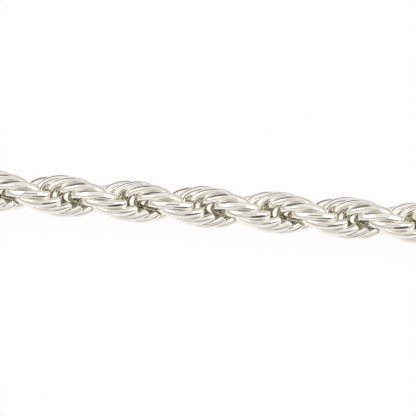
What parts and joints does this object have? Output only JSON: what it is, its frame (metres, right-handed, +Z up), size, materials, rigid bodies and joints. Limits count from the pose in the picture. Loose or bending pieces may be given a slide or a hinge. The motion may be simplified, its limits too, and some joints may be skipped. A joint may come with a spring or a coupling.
{
  "type": "chain necklace",
  "caption": "Rope chain necklace of interlaced round-wire links, laid open in a flat loop, with lobster clasp, catch ring and tag.",
  "frame": {"origin": "on the resting surface, under the centre of the necklace's box", "axes": "+Z up from the surface the loop lies on; +X along the straight front run; +Y from the front run to the clasp at the back"},
  "size_m": [0.1892, 0.1195, 0.0062],
  "materials": {
    "rope_silver": "polished sterling silver wire",
    "fitting_silver": "polished sterling silver castings and rings",
    "fitting_steel": "bright steel rivet and spring"
  },
  "bodies": {
    "rope_segment_01": {"rope_segment_01": "rope_silver", "catch_end_cap": "fitting_silver"},
    "rope_segment_02": {"rope_segment_02": "rope_silver"},
    "rope_segment_03": {"rope_segment_03": "rope_silver"},
    "rope_segment_04": {"rope_segment_04": "rope_silver"},
    "rope_segment_05": {"rope_segment_05": "rope_silver"},
    "rope_segment_06": {"rope_segment_06": "rope_silver"},
    "rope_segment_07": {"rope_segment_07": "rope_silver"},
    "rope_segment_08": {"rope_segment_08": "rope_silver"},
    "rope_segment_09": {"rope_segment_09": "rope_silver"},
    "rope_segment_10": {"rope_segment_10": "rope_silver"},
    "rope_segment_11": {"rope_segment_11": "rope_silver"},
    "rope_segment_12": {"rope_segment_12": "rope_silver"},
    "rope_segment_13": {"rope_segment_13": "rope_silver"},
    "rope_segment_14": {"rope_segment_14": "rope_silver"},
    "rope_segment_15": {"rope_segment_15": "rope_silver"},
    "rope_segment_16": {"rope_segment_16": "rope_silver"},
    "rope_segment_17": {"rope_segment_17": "rope_silver"},
    "rope_segment_18": {"rope_segment_18": "rope_silver"},
    "rope_segment_19": {"rope_segment_19": "rope_silver"},
    "rope_segment_20": {"rope_segment_20": "rope_silver"},
    "rope_segment_21": {"rope_segment_21": "rope_silver"},
    "rope_segment_22": {"rope_segment_22": "rope_silver"},
    "rope_segment_23": {"rope_segment_23": "rope_silver"},
    "rope_segment_24": {"rope_segment_24": "rope_silver"},
    "rope_segment_25": {"rope_segment_25": "rope_silver"},
    "rope_segment_26": {"rope_segment_26": "rope_silver"},
    "rope_segment_27": {"rope_segment_27": "rope_silver"},
    "rope_segment_28": {"rope_segment_28": "rope_silver"},
    "rope_segment_29": {"rope_segment_29": "rope_silver"},
    "rope_segment_30": {"rope_segment_30": "rope_silver"},
    "rope_segment_31": {"rope_segment_31": "rope_silver"},
    "rope_segment_32": {"rope_segment_32": "rope_silver"},
    "rope_segment_33": {"rope_segment_33": "rope_silver"},
    "rope_segment_34": {"rope_segment_34": "rope_silver"},
    "rope_segment_35": {"rope_segment_35": "rope_silver"},
    "rope_segment_36": {"rope_segment_36": "rope_silver"},
    "rope_segment_37": {"rope_segment_37": "rope_silver"},
    "rope_segment_38": {"rope_segment_38": "rope_silver"},
    "rope_segment_39": {"rope_segment_39": "rope_silver"},
    "rope_segment_40": {"rope_segment_40": "rope_silver"},
    "rope_segment_41": {"rope_segment_41": "rope_silver", "clasp_end_cap": "fitting_silver"},
    "clasp_ring": {"clasp_ring": "fitting_silver"},
    "clasp": {"clasp_body": "fitting_silver", "clasp_rivet": "fitting_steel", "clasp_spring": "fitting_steel"},
    "clasp_lever": {"clasp_lever": "fitting_silver"},
    "catch_ring": {"catch_ring": "fitting_silver"},
    "tag_ring": {"tag_ring": "fitting_silver"},
    "tag": {"tag": "fitting_silver"}
  },
  "joints": [
    {"name": "rope_bend_21_sideways", "type": "hinge", "parent": "rope_segment_21", "child": "rope_segment_22", "pos_m": [0.00517, -0.05727, 0.0031], "axis": [0, 0, 1], "range_deg": [-4, 4]},
    {"name": "rope_bend_22_updown", "type": "hinge", "parent": "rope_segment_22", "child": "rope_segment_23", "pos_m": [0.01551, -0.05727, 0.0031], "axis": [0, 1, 0], "range_deg": [-4, 4]},
    {"name": "rope_bend_23_sideways", "type": "hinge", "parent": "rope_segment_23", "child": "rope_segment_24", "pos_m": [0.02585, -0.05727, 0.0031], "axis": [0, 0, 1], "range_deg": [-4, 4]},
    {"name": "rope_bend_24_updown", "type": "hinge", "parent": "rope_segment_24", "child": "rope_segment_25", "pos_m": [0.03618, -0.05727, 0.0031], "axis": [0, -1, 0], "range_deg": [-4, 4]},
    {"name": "rope_bend_25_sideways", "type": "hinge", "parent": "rope_segment_25", "child": "rope_segment_26", "pos_m": [0.04646, -0.05632, 0.0031], "axis": [0, 0, 1], "range_deg": [-4, 4]},
    {"name": "rope_bend_26_updown", "type": "hinge", "parent": "rope_segment_26", "child": "rope_segment_27", "pos_m": [0.05639, -0.05349, 0.0031], "axis": [0.3612, -0.9325, 0], "range_deg": [-4, 4]},
    {"name": "rope_bend_27_sideways", "type": "hinge", "parent": "rope_segment_27", "child": "rope_segment_28", "pos_m": [0.06564, -0.04889, 0.0031], "axis": [0, 0, 1], "range_deg": [-4, 4]},
    {"name": "rope_bend_28_updown", "type": "hinge", "parent": "rope_segment_28", "child": "rope_segment_29", "pos_m": [0.07387, -0.04267, 0.0031], "axis": [-0.6737, 0.739, 0], "range_deg": [-4, 4]},
    {"name": "rope_bend_29_sideways", "type": "hinge", "parent": "rope_segment_29", "child": "rope_segment_30", "pos_m": [0.08083, -0.03504, 0.0031], "axis": [0, 0, 1], "range_deg": [-4, 4]},
    {"name": "rope_bend_30_updown", "type": "hinge", "parent": "rope_segment_30", "child": "rope_segment_31", "pos_m": [0.08626, -0.02626, 0.0031], "axis": [-0.8952, 0.4457, 0], "range_deg": [-4, 4]},
    {"name": "rope_bend_31_sideways", "type": "hinge", "parent": "rope_segment_31", "child": "rope_segment_32", "pos_m": [0.08999, -0.01663, 0.0031], "axis": [0, 0, 1], "range_deg": [-4, 4]},
    {"name": "rope_bend_32_updown", "type": "hinge", "parent": "rope_segment_32", "child": "rope_segment_33", "pos_m": [0.09189, -0.00649, 0.0031], "axis": [0.9957, -0.0923, 0], "range_deg": [-4, 4]},
    {"name": "rope_bend_33_sideways", "type": "hinge", "parent": "rope_segment_33", "child": "rope_segment_34", "pos_m": [0.09189, 0.00384, 0.0031], "axis": [0, 0, 1], "range_deg": [-4, 4]},
    {"name": "rope_bend_34_updown", "type": "hinge", "parent": "rope_segment_34", "child": "rope_segment_35", "pos_m": [0.08999, 0.01398, 0.0031], "axis": [0.9618, 0.2737, 0], "range_deg": [-4, 4]},
    {"name": "rope_bend_35_sideways", "type": "hinge", "parent": "rope_segment_35", "child": "rope_segment_36", "pos_m": [0.08626, 0.02361, 0.0031], "axis": [0, 0, 1], "range_deg": [-4, 4]},
    {"name": "rope_bend_36_updown", "type": "hinge", "parent": "rope_segment_36", "child": "rope_segment_37", "pos_m": [0.08083, 0.03239, 0.0031], "axis": [-0.798, -0.6026, 0], "range_deg": [-4, 4]},
    {"name": "rope_bend_37_sideways", "type": "hinge", "parent": "rope_segment_37", "child": "rope_segment_38", "pos_m": [0.07387, 0.04002, 0.0031], "axis": [0, 0, 1], "range_deg": [-4, 4]},
    {"name": "rope_bend_38_updown", "type": "hinge", "parent": "rope_segment_38", "child": "rope_segment_39", "pos_m": [0.06564, 0.04624, 0.0031], "axis": [-0.5264, -0.8502, 0], "range_deg": [-4, 4]},
    {"name": "rope_bend_39_sideways", "type": "hinge", "parent": "rope_segment_39", "child": "rope_segment_40", "pos_m": [0.05639, 0.05084, 0.0031], "axis": [0, 0, 1], "range_deg": [-4, 4]},
    {"name": "rope_bend_40_updown", "type": "hinge", "parent": "rope_segment_40", "child": "rope_segment_41", "pos_m": [0.04646, 0.05367, 0.0031], "axis": [0.1838, 0.983, 0], "range_deg": [-4, 4]},
    {"name": "rope_bend_20_sideways", "type": "hinge", "parent": "rope_segment_21", "child": "rope_segment_20", "pos_m": [-0.00517, -0.05727, 0.0031], "axis": [0, 0, 1], "range_deg": [-4, 4]},
    {"name": "rope_bend_19_updown", "type": "hinge", "parent": "rope_segment_20", "child": "rope_segment_19", "pos_m": [-0.01551, -0.05727, 0.0031], "axis": [0, 1, 0], "range_deg": [-4, 4]},
    {"name": "rope_bend_18_sideways", "type": "hinge", "parent": "rope_segment_19", "child": "rope_segment_18", "pos_m": [-0.02585, -0.05727, 0.0031], "axis": [0, 0, 1], "range_deg": [-4, 4]},
    {"name": "rope_bend_17_updown", "type": "hinge", "parent": "rope_segment_18", "child": "rope_segment_17", "pos_m": [-0.03618, -0.05727, 0.0031], "axis": [0, -1, 0], "range_deg": [-4, 4]},
    {"name": "rope_bend_16_sideways", "type": "hinge", "parent": "rope_segment_17", "child": "rope_segment_16", "pos_m": [-0.04646, -0.05632, 0.0031], "axis": [0, 0, 1], "range_deg": [-4, 4]},
    {"name": "rope_bend_15_updown", "type": "hinge", "parent": "rope_segment_16", "child": "rope_segment_15", "pos_m": [-0.05639, -0.05349, 0.0031], "axis": [-0.3612, -0.9325, 0], "range_deg": [-4, 4]},
    {"name": "rope_bend_14_sideways", "type": "hinge", "parent": "rope_segment_15", "child": "rope_segment_14", "pos_m": [-0.06564, -0.04889, 0.0031], "axis": [0, 0, 1], "range_deg": [-4, 4]},
    {"name": "rope_bend_13_updown", "type": "hinge", "parent": "rope_segment_14", "child": "rope_segment_13", "pos_m": [-0.07387, -0.04267, 0.0031], "axis": [0.6737, 0.739, 0], "range_deg": [-4, 4]},
    {"name": "rope_bend_12_sideways", "type": "hinge", "parent": "rope_segment_13", "child": "rope_segment_12", "pos_m": [-0.08083, -0.03504, 0.0031], "axis": [0, 0, 1], "range_deg": [-4, 4]},
    {"name": "rope_bend_11_updown", "type": "hinge", "parent": "rope_segment_12", "child": "rope_segment_11", "pos_m": [-0.08626, -0.02626, 0.0031], "axis": [0.8952, 0.4457, 0], "range_deg": [-4, 4]},
    {"name": "rope_bend_10_sideways", "type": "hinge", "parent": "rope_segment_11", "child": "rope_segment_10", "pos_m": [-0.08999, -0.01663, 0.0031], "axis": [0, 0, 1], "range_deg": [-4, 4]},
    {"name": "rope_bend_09_updown", "type": "hinge", "parent": "rope_segment_10", "child": "rope_segment_09", "pos_m": [-0.09189, -0.00649, 0.0031], "axis": [-0.9957, -0.0923, 0], "range_deg": [-4, 4]},
    {"name": "rope_bend_08_sideways", "type": "hinge", "parent": "rope_segment_09", "child": "rope_segment_08", "pos_m": [-0.09189, 0.00384, 0.0031], "axis": [0, 0, 1], "range_deg": [-4, 4]},
    {"name": "rope_bend_07_updown", "type": "hinge", "parent": "rope_segment_08", "child": "rope_segment_07", "pos_m": [-0.08999, 0.01398, 0.0031], "axis": [-0.9618, 0.2737, 0], "range_deg": [-4, 4]},
    {"name": "rope_bend_06_sideways", "type": "hinge", "parent": "rope_segment_07", "child": "rope_segment_06", "pos_m": [-0.08626, 0.02361, 0.0031], "axis": [0, 0, 1], "range_deg": [-4, 4]},
    {"name": "rope_bend_05_updown", "type": "hinge", "parent": "rope_segment_06", "child": "rope_segment_05", "pos_m": [-0.08083, 0.03239, 0.0031], "axis": [0.798, -0.6026, 0], "range_deg": [-4, 4]},
    {"name": "rope_bend_04_sideways", "type": "hinge", "parent": "rope_segment_05", "child": "rope_segment_04", "pos_m": [-0.07387, 0.04002, 0.0031], "axis": [0, 0, 1], "range_deg": [-4, 4]},
    {"name": "rope_bend_03_updown", "type": "hinge", "parent": "rope_segment_04", "child": "rope_segment_03", "pos_m": [-0.06564, 0.04624, 0.0031], "axis": [0.5264, -0.8502, 0], "range_deg": [-4, 4]},
    {"name": "rope_bend_02_sideways", "type": "hinge", "parent": "rope_segment_03", "child": "rope_segment_02", "pos_m": [-0.05639, 0.05084, 0.0031], "axis": [0, 0, 1], "range_deg": [-4, 4]},
    {"name": "rope_bend_01_updown", "type": "hinge", "parent": "rope_segment_02", "child": "rope_segment_01", "pos_m": [-0.04646, 0.05367, 0.0031], "axis": [-0.1838, 0.983, 0], "range_deg": [-4, 4]},
    {"name": "clasp_ring_swing", "type": "hinge", "parent": "rope_segment_41", "child": "clasp_ring", "pos_m": [0.03138, 0.05462, 0.0031], "axis": [0, 0, 1], "range_deg": [-45, 45]},
    {"name": "clasp_swing", "type": "hinge", "parent": "clasp_ring", "child": "clasp", "pos_m": [0.02678, 0.05462, 0.0031], "axis": [0, 0, 1], "range_deg": [-45, 45]},
    {"name": "clasp_lever_press", "type": "hinge", "parent": "clasp", "child": "clasp_lever", "pos_m": [0.02114, 0.05547, 0.00285], "axis": [-0.0436, 0, 0.999], "range_deg": [0, 22], "stiffness_Nm_per_rad": 0.0005, "springref_deg": -20.05},
    {"name": "catch_ring_swing", "type": "hinge", "parent": "rope_segment_01", "child": "catch_ring", "pos_m": [-0.03138, 0.05462, 0.0031], "axis": [0, 1, 0], "range_deg": [-60, 60]},
    {"name": "tag_ring_swing", "type": "hinge", "parent": "catch_ring", "child": "tag_ring", "pos_m": [-0.02482, 0.05462, 0.00176], "axis": [0, 1, 0], "range_deg": [-50, 50]},
    {"name": "tag_swing", "type": "hinge", "parent": "tag_ring", "child": "tag", "pos_m": [-0.02257, 0.05462, 0.00236], "axis": [0.1874, 0, 0.9823], "range_deg": [-40, 40]}
  ]
}
